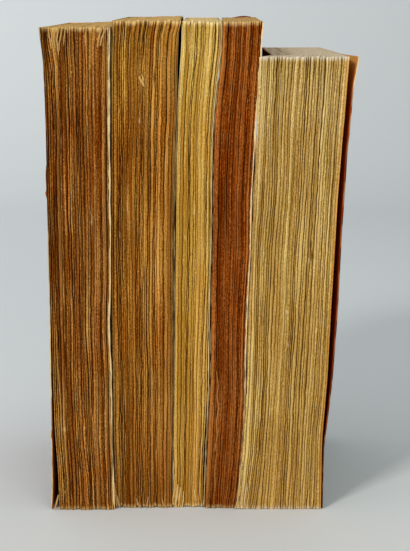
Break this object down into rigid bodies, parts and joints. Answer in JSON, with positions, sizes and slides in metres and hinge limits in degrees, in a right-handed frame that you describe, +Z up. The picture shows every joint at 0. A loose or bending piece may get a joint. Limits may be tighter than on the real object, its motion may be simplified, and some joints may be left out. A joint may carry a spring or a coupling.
{
  "type": "stack of books",
  "caption": "Row of worn old paperback books of unlike thickness and height, standing on their tails with yellowed fore-edges to the front.",
  "frame": {"origin": "middle of the footprint of the whole row, on the surface that the books stand on", "axes": "+Z up, from the tails of the books to their heads; -Y towards the fore-edges, which face the viewer; +X from the first book to the fifth"},
  "size_m": [0.1119, 0.1114, 0.1783],
  "materials": {
    "brown_paper": "aged, uncoated paper, yellowed at the edges",
    "ochre_paper": "aged, uncoated paper, yellowed at the edges",
    "pale_paper": "aged, uncoated paper, yellowed at the edges",
    "russet_paper": "aged, uncoated paper, yellowed at the edges",
    "buff_paper": "aged, uncoated paper, yellowed at the edges",
    "maroon_card": "worn printed card, bare of lettering",
    "slate_card": "worn printed card, bare of lettering",
    "cream_card": "worn printed card, bare of lettering",
    "red_card": "worn printed card, bare of lettering",
    "green_card": "worn printed card, bare of lettering"
  },
  "bodies": {
    "books": {"first_book_pages": "brown_paper", "second_book_pages": "ochre_paper", "third_book_pages": "pale_paper", "fourth_book_pages": "russet_paper", "fifth_book_pages": "buff_paper", "first_book_spine_and_back_cover": "maroon_card", "second_book_paper_cover": "slate_card", "third_book_paper_cover": "cream_card", "fourth_book_paper_cover": "red_card", "fifth_book_front_cover_and_spine": "green_card"},
    "first_front_cover": {"first_book_front_cover": "maroon_card"},
    "fifth_back_cover": {"fifth_book_back_cover": "green_card"}
  },
  "joints": [
    {"name": "first_front_cover_fold", "type": "hinge", "parent": "books", "child": "first_front_cover", "pos_m": [-0.05451, 0.0518, 0.088], "axis": [0, 0, -1], "range_deg": [0, 170]},
    {"name": "fifth_back_cover_fold", "type": "hinge", "parent": "books", "child": "fifth_back_cover", "pos_m": [0.04909, 0.0513, 0.083], "axis": [0, 0, 1], "range_deg": [0, 170]}
  ]
}
